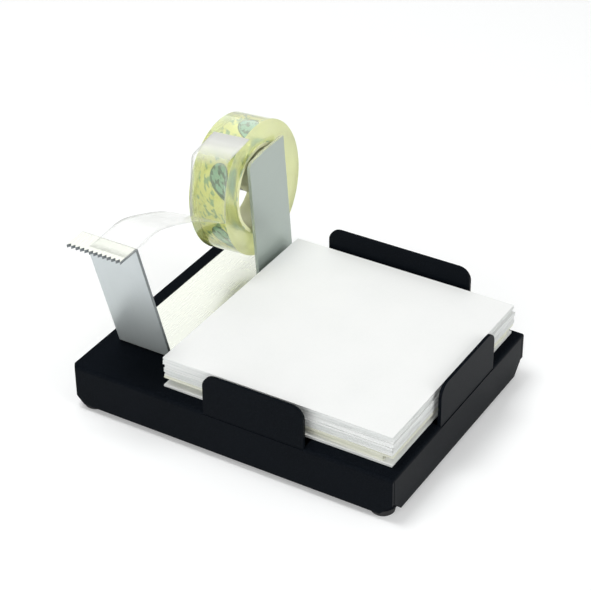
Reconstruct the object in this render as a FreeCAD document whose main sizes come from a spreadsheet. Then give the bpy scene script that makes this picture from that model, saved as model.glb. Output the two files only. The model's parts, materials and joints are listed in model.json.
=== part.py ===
import FreeCAD, Part

import math
import os

import Sketcher
from FreeCAD import Placement, Rotation, Vector

# Desk tray for square note paper with a tape dispenser along its left side. A black steel
# tray carries the paper between three lanced tabs, and one bent stainless strip makes the
# serrated cutter at the front and the plate that holds the roll's peg at the back.
#
# Every piece is drawn in the tray's corner frame: x from the left face, y from the front
# face, z from the top plate's upper face. "Worked" then holds the shift to the part's own
# frame, whose origin is on the table, under the middle of the whole part.

doc = FreeCAD.newDocument("note_tray")

# Driving dimensions in millimetres and degrees
SIZES = (
    # Stack of note paper, and its room on the tray
    ("paper_side", 75.6),
    ("paper_height", 10.3),
    ("paper_gap_left", 1.4),
    ("paper_gap_right", 1.6),
    ("paper_gap_front", 3.7),
    ("paper_gap_back", 0.6),
    ("small_paper_less", 3.4),
    # Tray
    ("base_height", 13.1),
    ("base_sheet", 1.0),
    ("base_bend", 1.2),
    ("flange_corner", 4.0),
    ("seam_gap", 0.3),
    ("corner_cut_x", 1.5),
    ("corner_cut_y", 2.3),
    # Tabs that hold the paper
    ("tab_width", 33.2),
    ("tab_height", 13.1),
    ("tab_corner", 4.0),
    ("tab_step", 0.2),
    ("tab_step_drop", 0.8),
    ("front_tab_shift", -4.3),
    ("side_tab_shift", 2.3),
    ("back_tab_shift", -2.1),
    ("back_tab_width", 48.9),
    ("back_tab_height", 16.8),
    ("window_corner", 2.0),
    # Bottom plate, its screws and the feet
    ("bottom_sheet", 1.0),
    ("bottom_clearance", 0.3),
    ("screw_inset_x", 12.5),
    ("screw_inset_y", 9.0),
    ("screw_radius", 1.5),
    ("screw_length", 8.0),
    ("screw_head_radius", 2.75),
    ("screw_head_height", 1.2),
    ("screw_socket_radius", 1.1),
    ("screw_socket_depth", 0.7),
    ("thread_clearance", 0.05),
    ("hole_clearance", 0.2),
    ("standoff_width", 5.5),
    ("thread_spare", 1.0),
    ("foot_radius", 3.5),
    ("foot_height", 2.0),
    ("foot_chamfer", 0.4),
    ("foot_inset_x", 5.2),
    ("foot_inset_y", 4.4),
    # Bent stainless bracket
    ("strip_sheet", 1.0),
    ("strip_bend", 1.5),
    ("strip_start", 5.7),
    ("strip_width", 18.2),
    ("cutter_foot", 17.4),
    ("cutter_lean", 17.0),
    ("cutter_height", 45.7),
    ("lip_length", 8.3),
    ("lip_droop", 2.0),
    ("tooth_count", 12),
    ("tooth_depth", 1.1),
    ("plate_inset", 1.8),
    ("plate_width", 19.7),
    ("wing_width", 4.5),
    ("plate_length", 45.5),
    ("plate_lean", 4.0),
    ("plate_corner", 2.5),
    ("plate_top_drop", 1.0),
    ("wing_round", 1.5),
    # Weld studs under the bracket, with their washers and nuts
    ("stud_radius", 1.5),
    ("stud_length", 5.2),
    ("stud_setback", 12.6),
    ("stud_gap", 7.3),
    ("washer_radius", 3.5),
    ("washer_sheet", 0.5),
    ("nut_width", 5.5),
    ("nut_height", 2.4),
    # Peg, core and wound tape
    ("peg_radius", 7.1),
    ("peg_setback", 9.1),
    ("rim_radius", 8.8),
    ("rim_sheet", 1.2),
    ("rim_chamfer", 0.4),
    ("core_bore_radius", 13.0),
    ("core_wall", 1.5),
    ("tape_width", 12.7),
    ("roll_radius", 21.3),
    ("roll_gap", 1.1),
    ("hang_gap", 0.3),
    ("end_play", 0.3),
    # Loose end of the tape
    ("film_sheet", 0.2),
    ("film_gap", 0.3),
    ("film_bulge", 5.2),
    ("film_shift", 0.5),
    ("film_sag_depth", 1.6),
    # One overrun for all cuts
    ("overrun", 1.0),
)

# Sizes worked out from the driving ones
WORKED = (
    # The bracket's widths across the tray, then the tray's own sizes about the paper
    ("strip_end", "Sizes.strip_start + Sizes.strip_width"),
    ("plate_foot", "strip_end + Sizes.wing_width"),
    ("tab_inset", "Sizes.base_sheet + Sizes.tab_step"),
    ("base_length", "plate_foot + Sizes.paper_gap_left + Sizes.paper_side"
                    " + Sizes.paper_gap_right + tab_inset"),
    ("base_width", "Sizes.paper_gap_front + Sizes.paper_side + Sizes.paper_gap_back"
                   " + 2 * tab_inset"),
    ("paper_x", "plate_foot + Sizes.paper_gap_left + Sizes.paper_side / 2"),
    ("paper_y", "tab_inset + Sizes.paper_gap_front + Sizes.paper_side / 2"),
    # Where each tab starts along its side
    ("front_tab_start", "paper_x + Sizes.front_tab_shift - Sizes.tab_width / 2"),
    ("side_tab_start", "paper_y + Sizes.side_tab_shift - Sizes.tab_width / 2"),
    ("back_tab_start", "paper_x + Sizes.back_tab_shift - Sizes.back_tab_width / 2"),
    # Cutter profile: its top fold, its tip and the corner inside the top fold
    ("fold_back", "Sizes.cutter_foot + Sizes.strip_sheet / cos(Sizes.cutter_lean)"
                  " - Sizes.cutter_height * tan(Sizes.cutter_lean)"),
    ("tip_y", "fold_back - Sizes.lip_length * cos(Sizes.lip_droop)"),
    ("tip_z", "Sizes.cutter_height - Sizes.lip_length * sin(Sizes.lip_droop)"),
    ("inner_z", "(Sizes.cutter_height - Sizes.strip_sheet / cos(Sizes.lip_droop)"
                " - (fold_back - Sizes.cutter_foot) * tan(Sizes.lip_droop))"
                " / (1 + tan(Sizes.cutter_lean) * tan(Sizes.lip_droop))"),
    # Roll plate: its ends, the foot of its hidden face, and the roll's centre on it
    ("plate_back", "base_width - Sizes.plate_inset"),
    ("plate_start", "plate_back - Sizes.plate_width"),
    ("plate_face", "plate_foot - Sizes.strip_sheet / cos(Sizes.plate_lean)"),
    ("peg_rise", "Sizes.plate_length - Sizes.plate_top_drop / 2 - Sizes.peg_radius"),
    ("roll_y", "plate_start + Sizes.peg_setback"),
    ("roll_rise", "peg_rise + Sizes.peg_radius + Sizes.hang_gap - Sizes.core_bore_radius"),
    ("roll_middle", "Sizes.strip_sheet + Sizes.roll_gap + Sizes.tape_width / 2"),
    ("roll_x", "plate_foot - roll_middle * cos(Sizes.plate_lean)"
               " - roll_rise * sin(Sizes.plate_lean)"),
    ("roll_z", "roll_rise * cos(Sizes.plate_lean) - roll_middle * sin(Sizes.plate_lean)"),
    ("core_radius", "Sizes.core_bore_radius + Sizes.core_wall"),
    ("rim_start", "Sizes.roll_gap + Sizes.tape_width + Sizes.end_play"),
    # Weld studs along the strip
    ("stud_front", "Sizes.cutter_foot + Sizes.stud_setback"),
    ("stud_back", "base_width - Sizes.screw_inset_y - Sizes.stud_gap"),
    # Heights below the top plate
    ("inner_height", "Sizes.base_height - Sizes.base_sheet - Sizes.bottom_sheet"),
    ("table_drop", "Sizes.base_height + Sizes.foot_height"),
    # Shift from the corner frame to the part's frame
    ("shift_x", "-base_length / 2"),
    ("shift_y", "-(tip_y + roll_y + Sizes.roll_radius) / 2"),
    ("shift_z", "table_drop"),
)

# The stack's layers: share of its height, degrees that it is turned, and its shifts right
# and back as shares of what the small pad is less
PAD_SHARES = (
    ("note_pad_bottom", 0.08, 0.2, 0.0, -0.05),
    ("note_pad_small", 0.20, -2.2, 0.0, 0.0),
    ("note_pad_cream", 0.10, 0.1, 0.05, 0.0),
    ("note_pad_thick", 0.38, -0.2, 0.1, 0.0),
    ("note_pad_thin", 0.12, 0.3, -0.05, 0.0),
    ("note_pad_top", 0.12, 0.0, 0.05, -0.05),
)
SMALL_PAD = "note_pad_small"

# The share of its two runs that each of the film's arcs takes: wide ones, and sharp turns
ARC_SHARE = 0.45
TURN_SHARE = 0.12

# The film's route round the roll: angle in degrees from the back, share of the bulge, and
# the arc's share
WRAP_SHARES = ((110.0, 0.0, ARC_SHARE), (137.0, 1.0, TURN_SHARE), (166.0, 0.1, ARC_SHARE))

# The film's arch to the cutter: share of the span, share of the rise
ARCH_SHARES = ((0.33, 0.57), (0.60, 0.87), (0.80, 1.05))

# Share of the lip that the film's end lies on
LIP_SHARE = 0.72


def make_sheets():
    """Writes the driving sizes as plain numbers, and the worked ones as formulas."""
    sheet = doc.addObject("Spreadsheet::Sheet", "Sizes")
    for row, (alias, number) in enumerate(SIZES, 1):
        sheet.set(f"A{row}", alias)
        sheet.set(f"B{row}", str(number))
        sheet.setAlias(f"B{row}", alias)
    worked = doc.addObject("Spreadsheet::Sheet", "Worked")
    for row, (alias, formula) in enumerate(WORKED, 1):
        worked.set(f"A{row}", alias)
        worked.setAlias(f"B{row}", alias)
        worked.set(f"B{row}", "=" + formula)
    doc.recompute()


def value(formula):
    """The number that a formula of the sheets gives."""
    result = doc.Sizes.evalExpression(str(formula))
    return float(getattr(result, "Value", result))


def origin_part(body, role):
    return next(item for item in body.Origin.OriginFeatures if item.Role == role)


def new_body(label):
    body = doc.addObject("PartDesign::Body", label)
    body.Label = label
    return body


def put_down(item, across="0", along="0", rise="0"):
    """Moves a piece from the corner frame to the part's frame."""
    for axis, place in zip("xyz", (across, along, rise)):
        item.setExpression(f"Placement.Base.{axis}", f"Worked.shift_{axis} + {place}")


def new_sketch(body, name, role, offset="0"):
    sketch = body.newObject("Sketcher::SketchObject", name)
    sketch.AttachmentSupport = [(origin_part(body, role), "")]
    sketch.MapMode = "FlatFace"
    sketch.setExpression("AttachmentOffset.Base.z", offset)
    return sketch


def pin_point(sketch, geometry, point, place):
    """Binds a point's place from the sketch's origin to two formulas."""
    for kind, formula in zip(("DistanceX", "DistanceY"), place):
        rule = Sketcher.Constraint(kind, -1, 1, geometry, point, value(formula))
        index = sketch.addConstraint(rule)
        sketch.setExpression(f"Constraints[{index}]", str(formula))


def draw_outline(sketch, corners):
    """Draws a closed outline of straight lines through corners given as formulas."""
    first = sketch.GeometryCount
    points = [Vector(value(across), value(up), 0) for across, up in corners]
    for start, end in zip(points, points[1:] + points[:1]):
        sketch.addGeometry(Part.LineSegment(start, end))
    for number, corner in enumerate(corners):
        following = first + (number + 1) % len(corners)
        sketch.addConstraint(Sketcher.Constraint("Coincident", first + number, 2, following, 1))
        pin_point(sketch, first + number, 1, corner)


def draw_box(sketch, left, right, low, high):
    draw_outline(sketch, ((left, low), (right, low), (right, high), (left, high)))


def draw_circle(sketch, radius, across="0", up="0"):
    centre = Vector(value(across), value(up), 0)
    circle = sketch.addGeometry(Part.Circle(centre, Vector(0, 0, 1), value(radius)))
    pin_point(sketch, circle, 3, (across, up))
    index = sketch.addConstraint(Sketcher.Constraint("Radius", circle, value(radius)))
    sketch.setExpression(f"Constraints[{index}]", radius)


def grow(kind, body, sketch, length, name, backwards=False):
    """Adds a Pad or a Pocket on a sketch, as long as a formula says."""
    feature = body.newObject(f"PartDesign::{kind}", name)
    feature.Profile = sketch
    feature.setExpression("Length", length)
    feature.Reversed = backwards
    return feature


def dress_edges(body, name, size, chosen, kind="Fillet"):
    """Fillets or chamfers the edges of the body's last feature that the test picks."""
    doc.recompute()
    base = body.Tip
    names = [f"Edge{n}" for n, edge in enumerate(base.Shape.Edges, 1) if chosen(edge)]
    if not names:
        raise RuntimeError(f"{name} finds no edge")
    feature = body.newObject(f"PartDesign::{kind}", name)
    feature.Base = (base, names)
    feature.setExpression("Radius" if kind == "Fillet" else "Size", size)
    return feature


def straight_along(edge, direction):
    if edge.Curve.TypeId != "Part::GeomLine":
        return False
    return abs(abs(edge.tangentAt(edge.FirstParameter).dot(direction)) - 1) < 1e-6


def at(number, formula):
    return abs(number - value(formula)) < 1e-4


X_AXIS = Vector(1, 0, 0)
Y_AXIS = Vector(0, 1, 0)
Z_AXIS = Vector(0, 0, 1)


def add_tab(body, name, role, face, start, width, height, backwards):
    """Stands one tab in its flange's plane, set back by the step at its foot."""
    sketch = new_sketch(body, f"{name}_outline", role, face)
    draw_box(sketch, start, f"{start} + {width}", "-Sizes.tab_step_drop", height)
    grow("Pad", body, sketch, "Sizes.base_sheet", name, backwards)
    thickness_way = Y_AXIS if role == "XZ_Plane" else X_AXIS
    dress_edges(body, f"{name}_corners", "Sizes.tab_corner",
                lambda edge: straight_along(edge, thickness_way)
                and at(edge.Length, "Sizes.base_sheet")
                and at(edge.CenterOfMass.z, height))


def cut_window(body, name, left, right, low, high, corners):
    """Cuts the window that a tab leaves in the top plate, round at its far corners."""
    sketch = new_sketch(body, f"{name}_outline", "XY_Plane")
    draw_box(sketch, left, right, low, high)
    grow("Pocket", body, sketch, "Sizes.base_bend", name)
    dress_edges(body, f"{name}_corners", "Sizes.window_corner",
                lambda edge: straight_along(edge, Z_AXIS)
                and any(at(edge.CenterOfMass.x, across) and at(edge.CenterOfMass.y, up)
                        for across, up in corners))


def sketch_tab_feet(body, name, front_end, side_end, back_end):
    """The stretch of each flange under its tab, from the height of the tab's step."""
    sketch = new_sketch(body, name, "XY_Plane", "-Sizes.tab_step_drop")
    draw_box(sketch, "Worked.front_tab_start", front_end, "0", "Sizes.base_sheet")
    draw_box(sketch, "Worked.base_length - Sizes.base_sheet", "Worked.base_length",
             "Worked.side_tab_start", side_end)
    draw_box(sketch, "Worked.back_tab_start", back_end,
             "Worked.base_width - Sizes.base_sheet", "Worked.base_width")
    return sketch


def make_base_tray():
    body = new_body("base_tray")
    outline = new_sketch(body, "tray_outline", "XY_Plane")
    draw_box(outline, "0", "Worked.base_length", "0", "Worked.base_width")
    grow("Pad", body, outline, "Sizes.base_height", "tray_block", True)
    dress_edges(body, "tray_bends", "Sizes.base_bend", lambda edge: at(edge.CenterOfMass.z, 0))
    doc.recompute()
    hollow = body.newObject("PartDesign::Thickness", "tray_hollow")
    block = doc.tray_bends
    floor = next(f"Face{n}" for n, face in enumerate(block.Shape.Faces, 1)
                 if at(face.CenterOfMass.z, "-Sizes.base_height"))
    hollow.Base = (block, [floor])
    hollow.setExpression("Value", "Sizes.base_sheet")
    hollow.Reversed = True

    far_x = "Worked.base_length - Worked.tab_inset"
    far_y = "Worked.base_width - Worked.tab_inset"
    front_end = "Worked.front_tab_start + Sizes.tab_width"
    side_end = "Worked.side_tab_start + Sizes.tab_width"
    back_end = "Worked.back_tab_start + Sizes.back_tab_width"
    front_far = "Worked.tab_inset + Sizes.tab_height"
    cut_window(body, "front_window", "Worked.front_tab_start", front_end, "Sizes.base_sheet",
               front_far, (("Worked.front_tab_start", front_far), (front_end, front_far)))
    side_far = f"{far_x} - Sizes.tab_height"
    cut_window(body, "side_window", side_far, "Worked.base_length - Sizes.base_sheet",
               "Worked.side_tab_start", side_end,
               ((side_far, "Worked.side_tab_start"), (side_far, side_end)))
    back_far = f"{far_y} - Sizes.back_tab_height"
    cut_window(body, "back_window", "Worked.back_tab_start", back_end, back_far,
               "Worked.base_width - Sizes.base_sheet",
               (("Worked.back_tab_start", back_far), (back_end, back_far)))

    # The flange runs flat up to the step at each tab's foot
    flats = sketch_tab_feet(body, "flats_outline", front_end, side_end, back_end)
    grow("Pad", body, flats, "Sizes.base_bend - Sizes.tab_step_drop + Sizes.overrun",
         "flange_flats", True)
    crown = sketch_tab_feet(body, "crown_outline", front_end, side_end, back_end)
    grow("Pocket", body, crown, "Sizes.tab_step_drop + Sizes.overrun", "bend_cut", True)

    add_tab(body, "front_tab", "XZ_Plane", "-Sizes.tab_step", "Worked.front_tab_start",
            "Sizes.tab_width", "Sizes.tab_height", True)
    add_tab(body, "side_tab", "YZ_Plane", far_x, "Worked.side_tab_start",
            "Sizes.tab_width", "Sizes.tab_height", False)
    add_tab(body, "back_tab", "XZ_Plane", f"-({far_y})", "Worked.back_tab_start",
            "Sizes.back_tab_width", "Sizes.back_tab_height", True)

    # The front and back flanges cover the ends of the side flanges, with an open seam
    seams = new_sketch(body, "seams_outline", "XY_Plane", "-Sizes.base_bend")
    for left in ("0", "Worked.base_length - Sizes.base_sheet"):
        for low in ("Sizes.base_sheet", "Worked.base_width - Sizes.base_sheet - Sizes.seam_gap"):
            draw_box(seams, left, f"{left} + Sizes.base_sheet", low, f"{low} + Sizes.seam_gap")
    grow("Pocket", body, seams, "Sizes.base_height", "corner_seams")
    dress_edges(body, "flange_corners", "Sizes.flange_corner", is_flange_corner, "Chamfer")

    # The front left corner is ground off over its whole height
    cut = new_sketch(body, "corner_cut_outline", "XY_Plane", "Sizes.overrun")
    draw_outline(cut, (("-Sizes.overrun", "-Sizes.overrun"), ("Sizes.corner_cut_x", "-Sizes.overrun"),
                       ("Sizes.corner_cut_x", "0"), ("0", "Sizes.corner_cut_y"),
                       ("-Sizes.overrun", "Sizes.corner_cut_y")))
    grow("Pocket", body, cut, "Sizes.base_height + 2 * Sizes.overrun", "corner_cut")

    holes =new_sketch(body, "stud_holes_outline", "XY_Plane")
    for along in ("Worked.stud_front", "Worked.stud_back"):
        draw_circle(holes, "Sizes.stud_radius + Sizes.hole_clearance",
                    "Sizes.strip_start + Sizes.strip_width / 2", along)
    grow("Pocket", body, holes, "Sizes.base_sheet + Sizes.overrun", "stud_holes")
    put_down(body)


def is_flange_corner(edge):
    """The lower corners of each flange, where its end edge meets its lower edge."""
    middle = edge.CenterOfMass
    if not at(middle.z, "-Sizes.base_height") or not at(edge.Length, "Sizes.base_sheet"):
        return False
    if straight_along(edge, Y_AXIS):
        return at(middle.x, "0") or at(middle.x, "Worked.base_length")
    return straight_along(edge, X_AXIS)


def each_corner(inset_x, inset_y):
    """The names and places of what stands in the tray's four corners."""
    for depth_name, along in (("front", inset_y), ("back", f"Worked.base_width - {inset_y}")):
        for side_name, across in (("left", inset_x), ("right", f"Worked.base_length - {inset_x}")):
            yield f"{depth_name}_{side_name}", across, along


def make_bottom_plate():
    body = new_body("bottom_plate")
    outline = new_sketch(body, "bottom_outline", "XY_Plane", "-Sizes.base_height")
    inset = "(Sizes.base_sheet + Sizes.bottom_clearance)"
    draw_box(outline, inset, f"Worked.base_length - {inset}",
             inset, f"Worked.base_width - {inset}")
    for _, across, along in each_corner("Sizes.screw_inset_x", "Sizes.screw_inset_y"):
        draw_circle(outline, "Sizes.screw_radius + Sizes.hole_clearance", across, along)
    grow("Pad", body, outline, "Sizes.bottom_sheet", "bottom_sheet")
    dress_edges(body, "bottom_corners", "Sizes.flange_corner",
                lambda edge: straight_along(edge, Z_AXIS))
    put_down(body)


def turned(body, name, radius, start, length, kind="Pad"):
    """A round step of a piece that stands on its own axis, or a bore in it."""
    sketch = new_sketch(body, f"{name}_outline", "XY_Plane", start)
    draw_circle(sketch, radius)
    grow(kind, body, sketch, length, name, kind == "Pocket")


def draw_hexagon(sketch, flats):
    """A hexagon about the axis, with two flats square to y."""
    half = f"{flats} / 2"
    corner = f"{flats} / sqrt(3)"
    draw_outline(sketch, ((corner, "0"), (f"{corner} / 2", half), (f"-{corner} / 2", half),
                          (f"-{corner}", "0"), (f"-{corner} / 2", f"-{half}"),
                          (f"{corner} / 2", f"-{half}")))


def make_feet():
    for corner, across, along in each_corner("Sizes.foot_inset_x", "Sizes.foot_inset_y"):
        body = new_body(f"foot_{corner}")
        turned(body, f"foot_pad_{corner}", "Sizes.foot_radius", "-Worked.table_drop",
               "Sizes.foot_height")
        dress_edges(body, f"foot_edge_{corner}", "Sizes.foot_chamfer",
                    lambda edge: at(edge.CenterOfMass.z, "-Worked.table_drop"), "Chamfer")
        put_down(body, across, along)


def make_standoffs():
    """Hexagonal threaded pillars under the top plate, with blind bores from below."""
    floor = "(Sizes.bottom_sheet - Sizes.base_height)"
    for corner, across, along in each_corner("Sizes.screw_inset_x", "Sizes.screw_inset_y"):
        body = new_body(f"standoff_{corner}")
        sketch = new_sketch(body, f"standoff_outline_{corner}", "XY_Plane", floor)
        draw_hexagon(sketch, "Sizes.standoff_width")
        grow("Pad", body, sketch, "Worked.inner_height", f"standoff_bar_{corner}")
        turned(body, f"standoff_bore_{corner}", "Sizes.screw_radius + Sizes.thread_clearance",
               floor, "Sizes.screw_length + Sizes.thread_spare - Sizes.bottom_sheet", "Pocket")
        put_down(body, across, along)


def make_screws():
    under = "-Sizes.base_height"
    for corner, across, along in each_corner("Sizes.screw_inset_x", "Sizes.screw_inset_y"):
        body = new_body(f"bottom_screw_{corner}")
        turned(body, f"screw_head_{corner}", "Sizes.screw_head_radius",
               f"{under} - Sizes.screw_head_height", "Sizes.screw_head_height")
        turned(body, f"screw_shank_{corner}", "Sizes.screw_radius",
               under, "Sizes.screw_length")
        sketch = new_sketch(body, f"screw_socket_outline_{corner}", "XY_Plane",
                            f"{under} - Sizes.screw_head_height")
        draw_hexagon(sketch, "2 * Sizes.screw_socket_radius")
        grow("Pocket", body, sketch, "Sizes.screw_socket_depth",
             f"screw_socket_{corner}", True)
        put_down(body, across, along)


def make_tape_bracket():
    """One strip of sheet: the serrated lip, the leaning upright, the strip that lies on
    the tray and the plate that is folded up from its side."""
    body = new_body("tape_bracket")
    lean = "tan(Sizes.cutter_lean)"
    across_sheet = "Sizes.strip_sheet / cos(Sizes.cutter_lean)"
    profile = new_sketch(body, "cutter_outline", "YZ_Plane", "Sizes.strip_start")
    draw_outline(profile, (
        ("Worked.plate_back", "0"),
        ("Sizes.cutter_foot", "0"),
        (f"Sizes.cutter_foot - Worked.inner_z * {lean}", "Worked.inner_z"),
        ("Worked.tip_y + Sizes.strip_sheet * sin(Sizes.lip_droop)",
         "Worked.tip_z - Sizes.strip_sheet * cos(Sizes.lip_droop)"),
        ("Worked.tip_y", "Worked.tip_z"),
        ("Worked.fold_back", "Sizes.cutter_height"),
        (f"Sizes.cutter_foot + {across_sheet} - Sizes.strip_sheet * {lean}",
         "Sizes.strip_sheet"),
        ("Worked.plate_back", "Sizes.strip_sheet")))
    grow("Pad", body, profile, "Sizes.strip_width", "cutter_strip")

    side = new_sketch(body, "plate_outline", "XZ_Plane", "-Worked.plate_start")
    up_x, up_z = "sin(Sizes.plate_lean)", "cos(Sizes.plate_lean)"
    top_x = f"Worked.plate_foot - Sizes.plate_length * {up_x}"
    top_z = f"Sizes.plate_length * {up_z}"
    draw_outline(side, (
        ("Worked.strip_end - Sizes.strip_sheet", "0"),
        ("Worked.plate_foot", "0"),
        (top_x, top_z),
        (f"{top_x} - Sizes.strip_sheet * {up_z}", f"{top_z} - Sizes.strip_sheet * {up_x}"),
        ("Worked.plate_face - Sizes.strip_sheet * tan(Sizes.plate_lean)", "Sizes.strip_sheet"),
        ("Worked.strip_end - Sizes.strip_sheet", "Sizes.strip_sheet")))
    grow("Pad", body, side, "Sizes.plate_width", "roll_plate", True)
    doc.recompute()

    slope = new_sketch(body, "slope_outline", "YZ_Plane", "Worked.strip_end - Worked.plate_foot")
    draw_outline(slope, (
        ("Worked.plate_start - Sizes.overrun", f"{top_z} - Sizes.plate_top_drop"),
        ("Worked.plate_back", f"{top_z} + Sizes.overrun"),
        ("Worked.plate_start - Sizes.overrun", f"{top_z} + Sizes.overrun")))
    grow("Pocket", body, slope, "2 * Worked.plate_foot", "plate_top_slope", True)

    outer_folds = (("Sizes.cutter_foot", "0"), ("Worked.fold_back", "Sizes.cutter_height"))
    inner_folds = ((f"Sizes.cutter_foot - Worked.inner_z * {lean}", "Worked.inner_z"),
                   (f"Sizes.cutter_foot + {across_sheet} - Sizes.strip_sheet * {lean}",
                    "Sizes.strip_sheet"))
    inner_radius = "Sizes.strip_bend - Sizes.strip_sheet"
    round_folds(body, "cutter_folds_outside", "Sizes.strip_bend", X_AXIS, outer_folds)
    round_folds(body, "cutter_folds_inside", inner_radius, X_AXIS, inner_folds)
    round_folds(body, "plate_fold_outside", "Sizes.strip_bend", Y_AXIS,
                (("Worked.plate_foot", "0"),))
    round_folds(body, "plate_fold_inside", inner_radius, Y_AXIS,
                (("Worked.plate_face - Sizes.strip_sheet * tan(Sizes.plate_lean)",
                  "Sizes.strip_sheet"),))
    dress_edges(body, "wing_corner", "Sizes.wing_round",
                lambda edge: straight_along(edge, Z_AXIS)
                 and at(edge.CenterOfMass.x, "Worked.strip_end")
                 and at(edge.CenterOfMass.y, "Worked.plate_start"))
    dress_edges(body, "plate_front_corner", "Sizes.plate_corner", is_plate_corner)
    cut_teeth(body)
    put_down(body)


def round_folds(body, name, radius, direction, folds):
    """Rounds the edges that run along a fold at the given places of its profile."""
    across = (lambda point: point.y) if direction == X_AXIS else (lambda point: point.x)
    dress_edges(body, name, radius,
                lambda edge: straight_along(edge, direction)
                 and any(at(across(edge.CenterOfMass), where)
                         and at(edge.CenterOfMass.z, height) for where, height in folds))


def is_plate_corner(edge):
    """The short edge through the sheet at the top of the roll plate's front end."""
    middle = edge.CenterOfMass
    return (at(middle.y, "Worked.plate_start") and edge.Length < 2 * value("Sizes.strip_sheet")
            and middle.z > value("Sizes.plate_length / 2"))


def cut_teeth(body):
    """Cuts the first notch in the lip's front edge, and repeats it across the strip."""
    pitch = "Sizes.strip_width / Sizes.tooth_count"
    notch = new_sketch(body, "notch_outline", "XY_Plane", "Sizes.cutter_height + Sizes.overrun")
    wider = "(1 + Sizes.overrun / Sizes.tooth_depth)"
    front = "Worked.tip_y - Sizes.overrun"
    middle = f"(Sizes.strip_start + {pitch} / 2)"
    draw_outline(notch, (
        (middle, "Worked.tip_y + Sizes.tooth_depth"),
        (f"{middle} - {pitch} / 2 * {wider}", front),
        (f"{middle} + {pitch} / 2 * {wider}", front)))
    cut = grow("Pocket", body, notch, "2 * (Sizes.strip_sheet + Sizes.overrun)", "tooth_notch")
    doc.recompute()
    row = body.newObject("PartDesign::LinearPattern", "tooth_row")
    row.Originals = [cut]
    row.Direction = (origin_part(body, "X_Axis"), [""])
    row.setExpression("Length", f"Sizes.strip_width - {pitch}")
    row.setExpression("Occurrences", "Sizes.tooth_count")
    body.Tip = row


def make_stud_sets():
    """The two weld studs under the strip, each with its washer and nut."""
    middle = "Sizes.strip_start + Sizes.strip_width / 2"
    hole = "Sizes.stud_radius + Sizes.hole_clearance"
    washer_top = "(-Sizes.base_sheet)"
    nut_top = f"({washer_top} - Sizes.washer_sheet)"
    for where in ("front", "back"):
        along = f"Worked.stud_{where}"
        stud = new_body(f"bracket_stud_{where}")
        turned(stud, f"stud_bar_{where}", "Sizes.stud_radius", "-Sizes.stud_length",
               "Sizes.stud_length")
        washer = new_body(f"bracket_washer_{where}")
        washer_low = f"{washer_top} - Sizes.washer_sheet"
        turned(washer, f"washer_disc_{where}", "Sizes.washer_radius", washer_low,
               "Sizes.washer_sheet")
        turned(washer, f"washer_hole_{where}", hole, washer_low, "Sizes.washer_sheet", "Pocket")
        nut = new_body(f"bracket_nut_{where}")
        nut_low = f"{nut_top} - Sizes.nut_height"
        sketch = new_sketch(nut, f"nut_outline_{where}", "XY_Plane", nut_low)
        draw_hexagon(sketch, "Sizes.nut_width")
        draw_circle(sketch, "Sizes.stud_radius + Sizes.thread_clearance")
        grow("Pad", nut, sketch, "Sizes.nut_height", f"nut_bar_{where}")
        for body in (stud, washer, nut):
            put_down(body, middle, along)


def put_on_plate(item, rise):
    """Stands a piece's axis on the roll plate's hidden face, this far up the plate. The
    axis then points out of the plate, away from the paper and down by the plate's lean."""
    item.Placement = Placement(Vector(), Rotation(Y_AXIS, -90))
    item.setExpression("Placement.Rotation.Angle", "-90 - Sizes.plate_lean")
    across = (f"Worked.plate_foot - Sizes.strip_sheet * cos(Sizes.plate_lean)"
              f" - {rise} * sin(Sizes.plate_lean)")
    up = f"{rise} * cos(Sizes.plate_lean) - Sizes.strip_sheet * sin(Sizes.plate_lean)"
    put_down(item, across, "Worked.roll_y", up)


def make_roll():
    peg = new_body("roll_peg")
    turned(peg, "peg_bar", "Sizes.peg_radius", "0", "Worked.rim_start")
    turned(peg, "peg_rim", "Sizes.rim_radius", "Worked.rim_start", "Sizes.rim_sheet")
    dress_edges(peg, "peg_rim_edge", "Sizes.rim_chamfer",
                lambda edge: at(edge.CenterOfMass.z, "Worked.rim_start + Sizes.rim_sheet"),
                "Chamfer")
    put_on_plate(peg, "Worked.peg_rise")
    for label, outside, inside in (
            ("tape_core", "Worked.core_radius", "Sizes.core_bore_radius"),
            ("tape_roll", "Sizes.roll_radius", "Worked.core_radius")):
        ring = new_body(label)
        sketch = new_sketch(ring, f"{label}_outline", "XY_Plane", "Sizes.roll_gap")
        draw_circle(sketch, outside)
        draw_circle(sketch, inside)
        grow("Pad", ring, sketch, "Sizes.tape_width", f"{label}_ring")
        put_on_plate(ring, "Worked.roll_rise")


def film_corners(across):
    """The corners of the film's middle line in the y-z plane this far right of the roll's
    middle, each with its arc's share. The roll's tilt lifts its axis towards the right."""
    lift = across * math.tan(math.radians(value("Sizes.plate_lean")))
    centre = Vector(across, value("Worked.roll_y"), value("Worked.roll_z") + lift)
    half = value("Sizes.film_sheet / 2")
    clear = value("Sizes.roll_radius + Sizes.film_gap") + half
    corners = []
    for angle, share, arc in WRAP_SHARES:
        reach = clear + share * value("Sizes.film_bulge")
        turn = math.radians(angle)
        corners.append((centre + Vector(0, math.cos(turn), math.sin(turn)) * reach, arc))
    sag = value("Sizes.film_sag_depth")
    turn_point = centre + Vector(0, -clear, -sag)
    corners.append((turn_point, TURN_SHARE))

    droop = math.radians(value("Sizes.lip_droop"))
    fold = Vector(across, value("Worked.fold_back"), value("Sizes.cutter_height") + half)
    span = fold - turn_point
    for along, rise in ARCH_SHARES:
        corners.append((turn_point + Vector(0, span.y * along, span.z * rise), ARC_SHARE))
    corners.append((fold, ARC_SHARE))
    forward = Vector(0, -math.cos(droop), -math.sin(droop))
    corners.append((fold + forward * value("Sizes.lip_length") * LIP_SHARE, ARC_SHARE))
    return corners


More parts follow.
